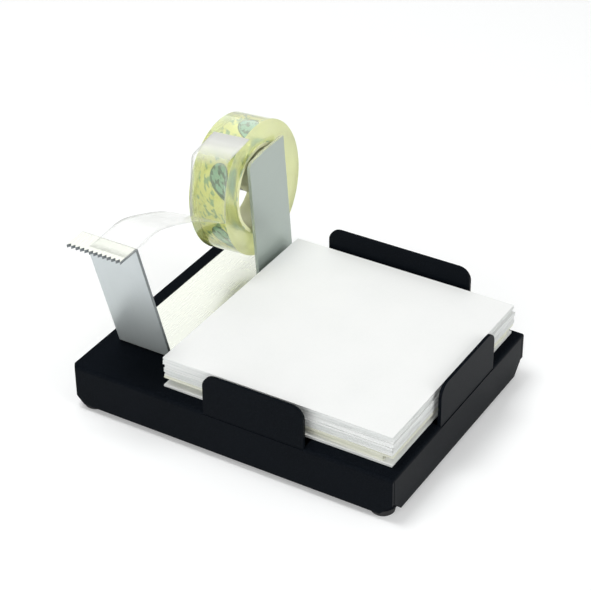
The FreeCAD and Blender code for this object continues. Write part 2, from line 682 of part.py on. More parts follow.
def side_line(corners, distance):
    """One side of the film: the middle line's corners moved sideways, joined by arcs."""
    points = [point for point, _ in corners]
    ways = [(after - before).normalize() for before, after in zip(points, points[1:])]
    normals = [Vector(0, -way.z, way.y) for way in ways]
    moved = [points[0] + normals[0] * distance]
    for point, before, after in zip(points[1:], normals, normals[1:]):
        moved.append(point + (before + after) * (distance / (1 + before.dot(after))))
    moved.append(points[-1] + normals[-1] * distance)
    edges = []
    start = moved[0]
    for number in range(1, len(moved) - 1):
        runs = [(points[number] - points[number - 1]).Length,
                (points[number + 1] - points[number]).Length]
        half_turn = ways[number - 1].getAngle(ways[number]) / 2
        left_turn = ways[number - 1].cross(ways[number]).x > 0
        radius = corners[number][1] * min(runs) / math.tan(half_turn)
        radius += -distance if left_turn else distance
        reach = radius * math.tan(half_turn)
        arc_start = moved[number] - ways[number - 1] * reach
        arc_end = moved[number] + ways[number] * reach
        inward = (ways[number] - ways[number - 1]).normalize()
        middle = moved[number] + inward * radius * (1 / math.cos(half_turn) - 1)
        edges.append(Part.makeLine(start, arc_start))
        edges.append(Part.Arc(arc_start, middle, arc_end).toShape())
        start = arc_end
    edges.append(Part.makeLine(start, moved[-1]))
    return edges, moved[0], moved[-1]


def film_section(across):
    """The film's closed outline in one y-z plane."""
    corners = film_corners(across)
    half = value("Sizes.film_sheet / 2")
    upper, upper_start, upper_end = side_line(corners, -half)
    lower, lower_start, lower_end = side_line(corners, half)
    caps = [Part.makeLine(upper_end, lower_end), Part.makeLine(lower_start, upper_start)]
    return Part.Wire(Part.__sortEdges__(upper + lower + caps))


def make_film():
    """The loose end: it stands off the roll's front, turns and arches to the lip."""
    sections = [film_section(side * value("Sizes.tape_width") / 2) for side in (-1, 1)]
    film = doc.addObject("Part::Feature", "tape_film")
    film.Label = "tape_film"
    film.Shape = Part.makeLoft(sections, True, True)
    film.Placement = Placement()
    put_down(film, "Worked.roll_x + Sizes.film_shift")


def make_paper():
    """Loose pads of square paper, one on another, each turned and shifted a little."""
    below = "0"
    for label, height_share, degrees, share_right, share_back in PAD_SHARES:
        less = "Sizes.small_paper_less" if label == SMALL_PAD else "0"
        half = f"(Sizes.paper_side - {less}) / 2"
        pad = new_body(label)
        sketch = new_sketch(pad, f"{label}_outline", "XY_Plane", below)
        draw_box(sketch, f"-{half}", half, f"-{half}", half)
        grow("Pad", pad, sketch, f"Sizes.paper_height * {height_share}", f"{label}_stack")
        pad.Placement = Placement(Vector(), Rotation(Z_AXIS, degrees))
        put_down(pad, f"Worked.paper_x + Sizes.small_paper_less * {share_right}",
                 f"Worked.paper_y + Sizes.small_paper_less * {share_back}")
        below += f" + Sizes.paper_height * {height_share}"


def write_parts():
    """Checks every object and sub-part, and writes one file for each node."""
    doc.recompute()
    failed = [item.Name for item in doc.Objects
              if "Invalid" in item.State or "Error" in item.State]
    if failed:
        raise RuntimeError("objects that failed: " + ", ".join(failed))
    pieces = [item for item in doc.Objects
              if item.TypeId == "PartDesign::Body" or item.Name == "tape_film"]
    for piece in pieces:
        if piece.Shape.isNull() or not piece.Shape.isValid():
            raise RuntimeError(f"{piece.Label} has no valid shape")
    os.makedirs("parts", exist_ok=True)
    for piece in pieces:
        piece.Shape.exportStep(f"parts/{piece.Label}.step")
        box = piece.Shape.BoundBox
        print(f"{piece.Label:24s} solids {len(piece.Shape.Solids)} volume"
              f" {piece.Shape.Volume:9.1f}  x {box.XMin:7.2f} {box.XMax:7.2f}"
              f"  y {box.YMin:7.2f} {box.YMax:7.2f}  z {box.ZMin:7.2f} {box.ZMax:7.2f}")


make_sheets()
make_base_tray()
make_bottom_plate()
make_feet()
make_standoffs()
make_screws()
make_tape_bracket()
make_stud_sets()
make_roll()
make_film()
make_paper()
write_parts()
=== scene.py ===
"""Looks of a desk note tray with a tape dispenser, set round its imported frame.

The tray, bracket and small hardware are the frame's own nodes with new finishes. The paper,
the wound tape, its core and its loose end are meshes made here, in the room that their solids
keep. Lengths are in metres and the named angles in degrees.
"""
import json
import math
import random

import bpy
from mathutils import Matrix, Vector


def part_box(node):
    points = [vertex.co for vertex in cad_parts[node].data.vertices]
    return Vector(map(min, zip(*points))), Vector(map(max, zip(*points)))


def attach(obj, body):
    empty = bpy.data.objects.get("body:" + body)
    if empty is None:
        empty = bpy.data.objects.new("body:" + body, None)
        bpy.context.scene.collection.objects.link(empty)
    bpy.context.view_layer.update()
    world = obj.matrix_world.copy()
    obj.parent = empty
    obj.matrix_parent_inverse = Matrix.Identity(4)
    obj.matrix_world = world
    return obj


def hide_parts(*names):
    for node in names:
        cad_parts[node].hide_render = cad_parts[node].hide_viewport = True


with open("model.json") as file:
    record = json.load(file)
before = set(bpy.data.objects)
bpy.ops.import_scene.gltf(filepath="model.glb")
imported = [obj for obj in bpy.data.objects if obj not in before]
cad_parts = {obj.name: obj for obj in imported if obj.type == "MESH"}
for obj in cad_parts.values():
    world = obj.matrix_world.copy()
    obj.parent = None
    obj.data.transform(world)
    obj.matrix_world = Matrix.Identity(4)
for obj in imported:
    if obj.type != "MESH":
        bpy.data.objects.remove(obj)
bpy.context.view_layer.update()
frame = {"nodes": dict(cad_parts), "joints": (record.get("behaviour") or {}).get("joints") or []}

MM = 0.001

# Camera, fitted to the tray's edges in the photograph
CAMERA_PLACE = (0.24672, -0.40883, 0.34727)
CAMERA_DOWN = 33.395
CAMERA_TURN = 31.388
CAMERA_ROLL = -0.649
CAMERA_LENS = 118.6
CAMERA_RANGE = (0.01, 20.0)

# Lamps: the way that each lies from the object, its distance, size and power
OBJECT_MIDDLE = Vector((0.0, 0.0, 0.02))
LAMPS = {
    "key_lamp": ((-0.22, -0.13, 0.967), 0.75, 0.28, 2.5),
    "back_lamp": ((-0.435, 0.66, 0.61), 0.80, 0.60, 0.9),
    "side_lamp": ((0.85, -0.10, 0.45), 0.80, 0.40, 1.9),
    "front_lamp": ((0.15, -0.93, 0.30), 0.80, 0.60, 2.6),
}

# Room: the world's light, the floor's size, and its glow where it is seen directly
WORLD_LEVEL = 0.36
FLOOR_SIZE = 8.0
FLOOR_GLOW = 0.22

# Shares of a face's normal. One that rises by less than UPRIGHT stands, and LEVEL_FADE leads
# from a standing look to a level one, which on the steel is smoother and painted lighter as
# lit. Sideways, PLATE_SIDE finds the roll plate's faces and CUT_SIDE the strip's cut edges.
UPRIGHT = 0.5
LEVEL_FADE = (0.5, 0.9)
PLATE_SIDE = 0.7
CUT_SIDE = 0.999

# Bracket: its height over the tray, its lip, the zone of its teeth, whose flanks are painted
# dark as the shade between them, and its grain's length against its width
CUTTER_HEIGHT = 45.7 * MM
LIP_LENGTH = 8.3 * MM
LIP_DROOP = 2.0
TOOTH_ZONE = 1.15 * MM
GRAIN_STRETCH = 40.0

# Paper: the turn of each pad, its colours, its sheets' thickness, how far their edges stray,
# and the gap over it. Sheets lie in blocks that stray together, and each may start a new one.
PAD_TURNS = {"note_pad_bottom": 0.2, "note_pad_small": -2.2, "note_pad_cream": 0.1,
             "note_pad_thick": -0.2, "note_pad_thin": 0.3, "note_pad_top": 0.0}
CREAM_PADS = ("note_pad_small", "note_pad_cream")
PAPER_COLOURS = {
    "white_paper": ((0.86, 0.87, 0.86), (0.60, 0.64, 0.62)),
    "cream_paper": ((0.85, 0.86, 0.76), (0.64, 0.65, 0.52)),
}
SHEET_RANGE = (0.09 * MM, 0.30 * MM)
SHEET_STRAY = 0.16 * MM
BLOCK_STRAY = 0.34 * MM
BLOCK_CHANCE = 0.2
PAD_GAP = 0.02 * MM
PAPER_SEED = 7

# Wound tape and core: parts round them, winding steps on the tape's sides, the angle from
# which edges stay sharp, how far the tape reaches into the core, and the core's bevels and
# wall
ROUND_PARTS = 160
WINDING_STEPS = 22
WINDING_STRAY = 0.05 * MM
SHARP_ANGLE = 35.0
CORE_GRIP = 0.10 * MM
CORE_LIP = 0.25 * MM
CORE_WALL = 1.5 * MM
WINDING_SEED = 3

# Print on the core's outer face: drops, whose bow LEAF_FIT brings to their half width, and
# scribbled marks in patches
MOTIF_COUNT = 5
MOTIF_TURN = 8.0
MOTIF_SLANT = -27.0
MOTIF_SHIFT = 1.3 * MM
LEAF_HALF = (5.4 * MM, 3.1 * MM)
LEAF_FIT = 0.92
LEAF_BLUR = 0.12 * MM
LEAF_RIM = 0.35 * MM
RIM_FADE = 1.6
SCRIBBLE_SLANT = 50.0
SCRIBBLE_STRETCH = 2.2
MARK_SIZE = 1.3 * MM
PATCH_SIZE = 5.0 * MM
PRINT_DEPTH = 0.3 * MM

# Loose end: straight runs with a bend at each corner. WRAP has the corners round the roll:
# degrees from the back, share of the bulge, and the bend's share of the shorter run beside
# it. ARCH has those from the turn at the roll's front to the lip, as shares of the way
# forward and of the way up.
WRAP = ((110.0, 0.0, 0.45), (137.0, 1.0, 0.12), (166.0, 0.1, 0.45))
ARCH = ((0.33, 0.57), (0.60, 0.87), (0.80, 1.05))
BEND_SHARE = 0.45
TURN_SHARE = 0.12
BEND_STEPS = 8

# Its distances from the roll, its thickness, the cup across it and the columns that make the
# cup, the share of the lip that it covers, and the shares of its length where its painted
# highlight at the start and its edges' grey at the lip fade
FILM_CLEAR = 0.4 * MM
FILM_BULGE = 5.2 * MM
FILM_SAG = 1.6 * MM
FILM_SHEET = 0.06 * MM
FILM_CUP = 0.18 * MM
FILM_COLUMNS = 10
LIP_SHARE = 0.72
FLAP_HIGHLIGHT_FADE = (0.05, 0.17)
LIP_FADE = (0.80, 0.90)


class Finish:
    """One node material, with short calls for the nodes that its look needs."""

    def __init__(self, name, **fixed):
        self.material = bpy.data.materials.new(name)
        self.material.use_nodes = True
        self.tree = self.material.node_tree
        self.shader = self.tree.nodes["Principled BSDF"]
        for socket, level in fixed.items():
            self.shader.inputs[socket.replace("_", " ")].default_value = level

    def add(self, kind, settings=(), **inputs):
        """A node of this kind. An input is named, or i and its number where names repeat,
        and is given a number, a colour or another node's output."""
        node = self.tree.nodes.new("ShaderNode" + kind)
        for key, setting in dict(settings).items():
            setattr(node, key, setting)
        for key, given in inputs.items():
            number = key.lstrip("i")
            socket = node.inputs[int(number) if number.isdigit() else key.replace("_", " ")]
            self.feed(socket, given)
        return node

    def feed(self, socket, given):
        if isinstance(given, bpy.types.NodeSocket):
            self.tree.links.new(given, socket)
        else:
            socket.default_value = given

    def set(self, socket, given):
        self.feed(self.shader.inputs[socket], given)

    def calc(self, operation, first, second=0.0, third=0.0):
        """The result of a Math node."""
        return self.add("Math", {"operation": operation}, i0=first, i1=second, i2=third).outputs[0]

    def place(self, **scales):
        """Object coordinates in metres, stretched by a factor for each axis."""
        coords = self.add("TexCoord").outputs["Object"]
        stretch = [scales.get(axis, 1.0) for axis in "xyz"]
        return self.add("Mapping", Vector=coords, Scale=stretch).outputs[0]

    def noise(self, vector, size, detail, roughness=0.5):
        """Noise from 0 to 1 whose blotches are about this large."""
        return self.add("TexNoise", Vector=vector, Scale=1.0 / size, Detail=detail,
                        Roughness=roughness).outputs["Fac"]

    def between(self, share, low, high, start=0.0, end=1.0):
        """A number from low to high as the share goes from start to end."""
        return self.add("MapRange", Value=share, i1=start, i2=end, i3=low, i4=high).outputs[0]

    def mix(self, share, first, second):
        """A colour between two others."""
        node = self.add("Mix", {"data_type": "RGBA"})
        for socket, given in ((0, share), (6, first), (7, second)):
            self.feed(node.inputs[socket], given)
        return node.outputs[2]

    def bump(self, height, depth, strength):
        normal = self.add("Bump", Height=height, Distance=depth, Strength=strength).outputs[0]
        self.set("Normal", normal)


def colour(red, green, blue):
    return (red, green, blue, 1.0)


def paint_finish():
    """Black powder coat: fine orange peel, matt on top, smoother on the upright faces."""
    finish = Finish("tray_paint", Specular_IOR_Level=0.03)
    place = finish.place()
    grain = finish.noise(place, 0.35 * MM, 3.0)
    cloud = finish.noise(place, 14 * MM, 4.0)
    speck = finish.between(grain, 0.0, 1.0, 0.45, 0.75)
    dark, light = colour(0.0018, 0.0028, 0.0042), colour(0.0030, 0.0046, 0.0070)
    glint = colour(0.0070, 0.0090, 0.0125)
    base = finish.mix(cloud, dark, light)
    finish.set("Base Color", finish.mix(speck, base, glint))
    normal = finish.add("NewGeometry").outputs["Normal"]
    rise = finish.add("SeparateXYZ", Vector=normal).outputs["Z"]
    matt = finish.between(rise, 0.32, 0.92, 0.3, 0.9)
    finish.set("Roughness", finish.calc("ADD", matt, finish.between(cloud, -0.05, 0.05)))
    finish.bump(grain, 0.02 * MM, 0.5)
    return finish.material


def stainless_finish():
    """Brushed stainless sheet. The grain runs along the strip: down the cutter, and level on
    the roll plate. The cutter is painted a lit pale blue and the roll plate a shaded darker
    green, and level faces are painted lighter as lit. The sheet's cut edges are darker, and
    the teeth's flanks are painted dark as the shade between the teeth."""
    finish = Finish("stainless", Metallic=0.5)
    coords = finish.add("TexCoord").outputs["Object"]
    axes = finish.add("SeparateXYZ", Vector=coords)
    normal = finish.add("NewGeometry").outputs["True Normal"]
    ways = finish.add("SeparateXYZ", Vector=normal)
    side = finish.calc("ABSOLUTE", ways.outputs["X"])
    rise = finish.calc("ABSOLUTE", ways.outputs["Z"])
    on_plate = finish.calc("GREATER_THAN", side, PLATE_SIDE)
    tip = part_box("tape_bracket")[0].y
    at_teeth = finish.calc("LESS_THAN", axes.outputs["Y"], tip + TOOTH_ZONE)
    # The teeth's flanks are painted dark as the shade between the teeth; the sheet's cut edges are
    # darker too.
    flank = finish.calc("MULTIPLY", at_teeth, finish.calc("LESS_THAN", rise, UPRIGHT))
    cut = finish.calc("MAXIMUM", flank, finish.calc("GREATER_THAN", side, CUT_SIDE))
    over = finish.add("Mix", {"data_type": "FLOAT"}, i0=on_plate, i2=axes.outputs["X"],
                      i3=axes.outputs["Z"]).outputs[0]
    grain_place = finish.add("CombineXYZ", X=finish.calc("MULTIPLY", over, GRAIN_STRETCH),
                             Y=axes.outputs["Y"], Z=0.0).outputs[0]
    grain = finish.noise(grain_place, 6 * MM, 5.0, 0.65)
    cloud = finish.noise(coords, 9 * MM, 3.0)
    # Painted light and shade: from the teeth back towards the roll plate, the steel goes from a
    # pale blue painted as lit to a darker green painted as shaded.
    front = finish.between(axes.outputs["Y"], 1.0, 0.0, tip, tip + CUTTER_HEIGHT)
    lit_cutter_colour = finish.mix(grain, colour(0.62, 0.66, 0.69), colour(0.72, 0.76, 0.79))
    shaded_plate_colour = finish.mix(grain, colour(0.39, 0.45, 0.41), colour(0.48, 0.54, 0.50))
    # Level faces are painted lighter, as lit.
    level = finish.mix(grain, colour(0.64, 0.66, 0.59), colour(0.72, 0.74, 0.68))
    dull, cut_edge_and_teeth_shade = colour(0.42, 0.47, 0.45), colour(0.20, 0.22, 0.23)
    upright = finish.mix(finish.between(cloud, 0.0, 0.25), finish.mix(front, shaded_plate_colour, lit_cutter_colour), dull)
    base = finish.mix(finish.between(rise, 0.0, 1.0, *LEVEL_FADE), upright, level)
    finish.set("Base Color", finish.mix(cut, base, cut_edge_and_teeth_shade))
    rough = finish.calc("ADD", finish.between(grain, 0.32, 0.44),
                        finish.between(cloud, -0.04, 0.06))
    smoother = finish.between(rise, 0.0, 0.12, *LEVEL_FADE)
    finish.set("Roughness", finish.calc("SUBTRACT", rough, smoother))
    finish.bump(grain, 0.004 * MM, 0.4)
    return finish.material


def metal_finish(name, dark, light, rough, blotch):
    """Small turned or plated hardware: mottled colour, fine marks."""
    finish = Finish(name, Metallic=1.0)
    place = finish.place()
    cloud = finish.noise(place, blotch, 4.0)
    marks = finish.noise(place, 0.15 * MM, 2.0)
    finish.set("Base Color", finish.mix(cloud, dark, light))
    finish.set("Roughness", finish.between(marks, rough - 0.05, rough + 0.08))
    finish.bump(marks, 0.004 * MM, 0.5)
    return finish.material


def rubber_finish():
    """Moulded black rubber, dusty where it is worn."""
    finish = Finish("foot_rubber", Specular_IOR_Level=0.35)
    place = finish.place()
    cloud = finish.noise(place, 2 * MM, 4.0)
    grain = finish.noise(place, 0.2 * MM, 2.0)
    clean, dusty = colour(0.006, 0.006, 0.007), colour(0.020, 0.020, 0.021)
    finish.set("Base Color", finish.mix(cloud, clean, dusty))
    finish.set("Roughness", finish.between(cloud, 0.55, 0.75))
    finish.bump(grain, 0.02 * MM, 0.6)
    return finish.material


def paint_nodes():
    """Gives each of the frame's own nodes its finish."""
    zinc = metal_finish("zinc_steel", colour(0.42, 0.42, 0.40), colour(0.62, 0.62, 0.60),
                        0.34, 1.2 * MM)
    polished = metal_finish("polished_steel", colour(0.55, 0.56, 0.56),
                            colour(0.70, 0.71, 0.71), 0.16, 3 * MM)
    paint, rubber = paint_finish(), rubber_finish()
    own = {"base_tray": paint, "bottom_plate": paint, "tape_bracket": stainless_finish(),
           "roll_peg": polished}
    for name, node in frame["nodes"].items():
        finish = own.get(name, rubber if name.startswith("foot_") else zinc)
        node.data.materials.clear()
        node.data.materials.append(finish)


def new_piece(name, points, faces, finish, spots=()):
    """A mesh object; spots gives the place of each face's corners on its flat pattern, and a
    piece that has them is shaded smooth between its sharp edges."""
    mesh = bpy.data.meshes.new(name)
    mesh.from_pydata(points, [], faces)
    if spots:
        layer = mesh.uv_layers.new(name="pattern")
        for number, spot in enumerate(spots):
            layer.data[number].uv = spot
        mesh.shade_smooth()
        mesh.set_sharp_from_angle(angle=math.radians(SHARP_ANGLE))
    mesh.materials.append(finish)
    mesh.validate()
    piece = bpy.data.objects.new(name, mesh)
    bpy.context.collection.objects.link(piece)
    return piece


def paper_finish(name, shade, dim):
    """Uncoated paper: faint cloud and fibre; its cut edges show a line for each sheet."""
    finish = Finish(name, Specular_IOR_Level=0.25, Roughness=0.85)
    place = finish.place()
    cloud = finish.noise(place, 18 * MM, 3.0)
    fibre = finish.noise(finish.place(y=0.35), 0.25 * MM, 4.0, 0.7)
    lines = finish.noise(finish.place(x=0.02, y=0.02, z=1.0), 0.22 * MM, 2.0)
    normal = finish.add("NewGeometry").outputs["True Normal"]
    flat = finish.calc("ABSOLUTE", finish.add("SeparateXYZ", Vector=normal).outputs["Z"])
    on_edge = finish.calc("LESS_THAN", flat, UPRIGHT)
    line = finish.calc("MULTIPLY", on_edge, finish.between(lines, 0.0, 0.75, 0.35, 0.7))
    faint = finish.between(finish.calc("ADD", cloud, fibre), 0.0, 0.12, 0.8, 1.3)
    finish.set("Base Color", finish.mix(finish.calc("MAXIMUM", line, faint), shade, dim))
    finish.bump(fibre, 0.012 * MM, 0.5)
    return finish.material


def sheet_heights(low, high, draw):
    """Heights of the sheets' joints from the bottom of a pad to its top."""
    heights = [low]
    while heights[-1] < high:
        heights.append(heights[-1] + draw.uniform(*SHEET_RANGE))
    return heights[:-1] + [high]


def make_pad(node, finish, draw):
    """A pad as single sheets: each is set back and turned a little by itself."""
    low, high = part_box(node)
    middle = (low + high) / 2
    turn = math.radians(PAD_TURNS[node])
    half = (high.x - low.x) / (math.cos(turn) + math.sin(abs(turn))) / 2
    points, faces = [], []
    heights = sheet_heights(low.z, high.z - PAD_GAP, draw)
    block = [0.0, 0.0]
    for below, above in zip(heights, heights[1:]):
        if draw.random() < BLOCK_CHANCE:
            block = [draw.uniform(-1.0, 1.0) * BLOCK_STRAY / 2 for _ in block]
        stray = [shift + draw.uniform(-1.0, 1.0) * SHEET_STRAY / 2 for shift in block]
        side = half - (BLOCK_STRAY + SHEET_STRAY) / 2
        slack = draw.uniform(-1.0, 1.0) * SHEET_STRAY / side / 2
        spin = Matrix.Rotation(turn + slack, 2)
        for height in (below, above):
            for across, along in ((-1, -1), (1, -1), (1, 1), (-1, 1)):
                corner = spin @ Vector((across * side + stray[0], along * side + stray[1]))
                points.append((middle.x + corner.x, middle.y + corner.y, height))
    for ring in range(0, len(points) - 4, 4):
        for number in range(4):
            after = (number + 1) % 4
            faces.append((ring + number, ring + after, ring + 4 + after, ring + 4 + number))
    last = len(points) - 4
    faces += [(3, 2, 1, 0), (last, last + 1, last + 2, last + 3)]
    pad = new_piece(f"{node}_sheets", points, faces, finish)
    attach(pad, "paper")
    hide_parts(node)


def make_paper():
    finishes = {slot: paper_finish(slot, colour(*shade), colour(*dim))
                for slot, (shade, dim) in PAPER_COLOURS.items()}
    draw = random.Random(PAPER_SEED)
    for node in PAD_TURNS:
        slot = "cream_paper" if node in CREAM_PADS else "white_paper"
        make_pad(node, finishes[slot], draw)


def roll_frame():
    """The roll's centre, its axis towards the plate, and the ways forward and up across it."""
    joint = next(joint for joint in frame["joints"] if joint["name"] == "roll_spin")
    axis = -Vector(joint["axis"]).normalized()
    ahead = Vector((0.0, -1.0, 0.0))
    return Vector(joint["pos_m"]), axis, ahead, ahead.cross(axis)


def core_reach():
    """The core's outer radius."""
    low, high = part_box("tape_core")
    return (high.y - low.y) / 2


def tape_half():
    """Half of the wound tape's width along its axis."""
    low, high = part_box("tape_roll")
    axis = roll_frame()[1]
    return (high.x - low.x - (high.y - low.y) * abs(axis.z)) / abs(axis.x) / 2


def turn_profile(name, profile, finish):
    """A ring about the roll's axis. The profile's corners are (radius, place across)."""
    centre, axis, ahead, up = roll_frame()
    points, spots, faces = [], [], []
    for part in range(ROUND_PARTS):
        turn = 2 * math.pi * (part / ROUND_PARTS - 0.5)
        way = ahead * math.cos(turn) + up * math.sin(turn)
        points += [centre + way * radius + axis * across for radius, across in profile]
    count = len(profile)
    pitch = 2 * math.pi * max(radius for radius, _ in profile) / ROUND_PARTS
    for part in range(ROUND_PARTS):
        for number in range(count):
            after = (number + 1) % count
            for ring, corner in ((part, number), (part, after), (part + 1, after),
                                 (part + 1, number)):
                spots.append(((ring - ROUND_PARTS / 2) * pitch, profile[corner][1]))
            start, end = part * count, (part + 1) % ROUND_PARTS * count
            faces.append((start + number, start + after, end + after, end + number))
    return new_piece(name, points, faces, finish, spots)


def printed(finish, spots, ground):
    """Drop-shaped motifs with a dark rim and marks, and patches of scribble round them."""
    axes = finish.add("SeparateXYZ", Vector=spots)
    around = axes.outputs["X"]
    across = finish.calc("SUBTRACT", axes.outputs["Y"], MOTIF_SHIFT)
    pitch = 2 * math.pi * core_reach() / MOTIF_COUNT
    cell = finish.calc("ADD", finish.calc("DIVIDE", around, pitch),
                       MOTIF_TURN / 360.0 * MOTIF_COUNT)
    local = finish.calc("MULTIPLY", finish.calc("SUBTRACT", finish.calc("FRACT", cell), 0.5),
                        pitch)
    slant = math.radians(MOTIF_SLANT)
    along = finish.calc("ADD", finish.calc("MULTIPLY", local, math.cos(slant)),
                        finish.calc("MULTIPLY", across, math.sin(slant)))
    over = finish.calc("SUBTRACT", finish.calc("MULTIPLY", across, math.cos(slant)),
                       finish.calc("MULTIPLY", local, math.sin(slant)))
    share = finish.calc("DIVIDE", along, LEAF_HALF[0])
    blunt = finish.calc("SQRT", finish.calc("MAXIMUM", finish.calc("SUBTRACT", 1.0, share), 0.0))
    bow = finish.calc("MULTIPLY", blunt, finish.calc("ADD", 1.0, share))
    inside = finish.calc("SUBTRACT", finish.calc("MULTIPLY", bow, LEAF_HALF[1] * LEAF_FIT),
                         finish.calc("ABSOLUTE", over))
    leaf = finish.between(inside, 0.0, 1.0, 0.0, LEAF_BLUR)
    within = finish.between(inside, 0.0, 1.0, LEAF_RIM, LEAF_RIM * RIM_FADE)

    turned = finish.add("Mapping", {"vector_type": "TEXTURE"}, Vector=spots,
                        Rotation=(0.0, 0.0, math.radians(SCRIBBLE_SLANT)),
                        Scale=(1.0, SCRIBBLE_STRETCH, 1.0)).outputs[0]
    mark = finish.between(finish.noise(turned, MARK_SIZE, 3.0), 0.0, 1.0, 0.50, 0.56)
    patch = finish.between(finish.noise(spots, PATCH_SIZE, 2.0), 0.0, 0.9, 0.44, 0.52)
    scribble = finish.calc("MULTIPLY", mark, patch)
    dark, pale, ink = colour(0.03, 0.13, 0.24), colour(0.24, 0.52, 0.72), colour(0.20, 0.40, 0.42)
    field = finish.mix(mark, pale, dark)
    motif = finish.mix(within, dark, field)
    return finish.mix(leaf, finish.mix(scribble, ground, ink), motif)


def core_finish():
    """Milky moulded core with a printed band round it, under the tape."""
    finish = Finish("core_plastic", Roughness=0.35)
    spots = finish.add("UVMap", {"uv_map": "pattern"}).outputs[0]
    cloud = finish.noise(finish.place(), 4 * MM, 3.0)
    ground = finish.mix(cloud, colour(0.82, 0.84, 0.46), colour(0.92, 0.93, 0.62))
    centre, axis, _, _ = roll_frame()
    coords = finish.add("TexCoord").outputs["Object"]
    off = finish.add("VectorMath", {"operation": "SUBTRACT"}, i0=coords, i1=centre).outputs[0]
    arm = finish.add("VectorMath", {"operation": "CROSS_PRODUCT"}, i0=off, i1=axis).outputs[0]
    reach = finish.add("VectorMath", {"operation": "LENGTH"}, i0=arm).outputs["Value"]
    outer = finish.calc("GREATER_THAN", reach, core_reach() - PRINT_DEPTH)
    finish.set("Base Color", finish.mix(outer, ground, printed(finish, spots, ground)))
    return finish.material


def tape_finish():
    """Clear film in many turns: yellow green, duller on its wound sides, and darker where it
    is seen at a slant."""
    finish = Finish("tape", IOR=1.47, Transmission_Weight=0.88, Coat_Weight=1.0,
                    Coat_Roughness=0.07, Coat_IOR=1.6)
    spots = finish.add("UVMap", {"uv_map": "pattern"}).outputs[0]
    across = finish.calc("ABSOLUTE", finish.add("SeparateXYZ", Vector=spots).outputs["Y"])
    on_side = finish.between(across, 0.0, 1.0, tape_half() - 2 * WINDING_STRAY,
                             tape_half() - WINDING_STRAY)
    cloud = finish.noise(finish.place(), 6 * MM, 3.0)
    clear = finish.mix(cloud, colour(0.86, 0.91, 0.38), colour(0.92, 0.95, 0.52))
    slant = finish.add("LayerWeight", Blend=0.5).outputs["Facing"]
    deep = finish.between(slant, 0.0, 0.8, 0.55, 1.0)
    finish.set("Base Color", finish.mix(deep, clear, colour(0.52, 0.58, 0.18)))
    streak = finish.noise(spots, 1.5 * MM, 2.0)
    finish.set("Roughness", finish.calc("ADD", finish.between(streak, 0.03, 0.12),
                                        finish.calc("MULTIPLY", on_side, 0.25)))
    return finish.material


def make_roll():
    """The wound tape and its core, each in the room of its own solid."""
    low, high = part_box("tape_roll")
    reach = (high.y - low.y) / 2
    half = tape_half()
    inside = core_reach() - CORE_GRIP
    draw = random.Random(WINDING_SEED)
    steps = [inside + (reach - inside) * number / WINDING_STEPS
             for number in range(WINDING_STEPS + 1)]
    sides = []
    for side in (-1, 1):
        edge = []
        for start, end in zip(steps, steps[1:]):
            across = side * (half - draw.uniform(0.0, 1.0) * WINDING_STRAY)
            edge += [(start, across), (end, across)]
        sides.append(edge)
    tape = turn_profile("wound_tape", sides[0] + sides[1][::-1], tape_finish())
    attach(tape, "roll")
    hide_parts("tape_roll")

    core = core_reach()
    bore = core - CORE_WALL
    lips = [(bore + CORE_LIP, -half), (core - CORE_LIP, -half), (core, -half + CORE_LIP),
            (core, half - CORE_LIP), (core - CORE_LIP, half), (bore + CORE_LIP, half),
            (bore, half - CORE_LIP), (bore, -half + CORE_LIP)]
    ring = turn_profile("printed_core", lips, core_finish())
    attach(ring, "roll")
    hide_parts("tape_core")


def film_corners(across):
    """The corners of the loose end's line this far to the right of the roll's middle, each
    with the share that its bend takes."""
    centre, axis, _, _ = roll_frame()
    low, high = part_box("tape_roll")
    reach = (high.y - low.y) / 2 + FILM_CLEAR
    centre = centre + Vector((across, 0.0, across * axis.z / axis.x))
    corners = []
    for angle, share, bend in WRAP:
        turn = math.radians(angle)
        way = Vector((0.0, math.cos(turn), math.sin(turn)))
        corners.append((centre + way * (reach + share * FILM_BULGE), bend))
    turn_point = centre + Vector((0.0, -reach, -FILM_SAG))
    corners.append((turn_point, TURN_SHARE))
    droop = math.radians(LIP_DROOP)
    tray_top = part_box("note_pad_bottom")[0].z
    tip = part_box("tape_bracket")[0].y
    fold = Vector((centre.x, tip + LIP_LENGTH * math.cos(droop), tray_top + CUTTER_HEIGHT))
    fold.z += FILM_SHEET
    span = fold - turn_point
    for along, rise in ARCH:
        corners.append((turn_point + Vector((0.0, span.y * along, span.z * rise)), BEND_SHARE))
    corners.append((fold, BEND_SHARE))
    end = Vector((0.0, -math.cos(droop), -math.sin(droop))) * LIP_LENGTH * LIP_SHARE
    corners.append((fold + end, BEND_SHARE))
    return corners


def film_line(across):
    """The loose end's line: straight runs joined by bends that touch them."""
    corners = film_corners(across)
    line = [corners[0][0]]
    for (before, _), (corner, share), (after, _) in zip(corners, corners[1:], corners[2:]):
        reach = share * min((corner - before).length, (after - corner).length)
        start = corner + (before - corner).normalized() * reach
        end = corner + (after - corner).normalized() * reach
        for step in range(BEND_STEPS + 1):
            done = step / BEND_STEPS
            line.append(start.lerp(corner, done).lerp(corner.lerp(end, done), done))
    line.append(corners[-1][0])
    return line


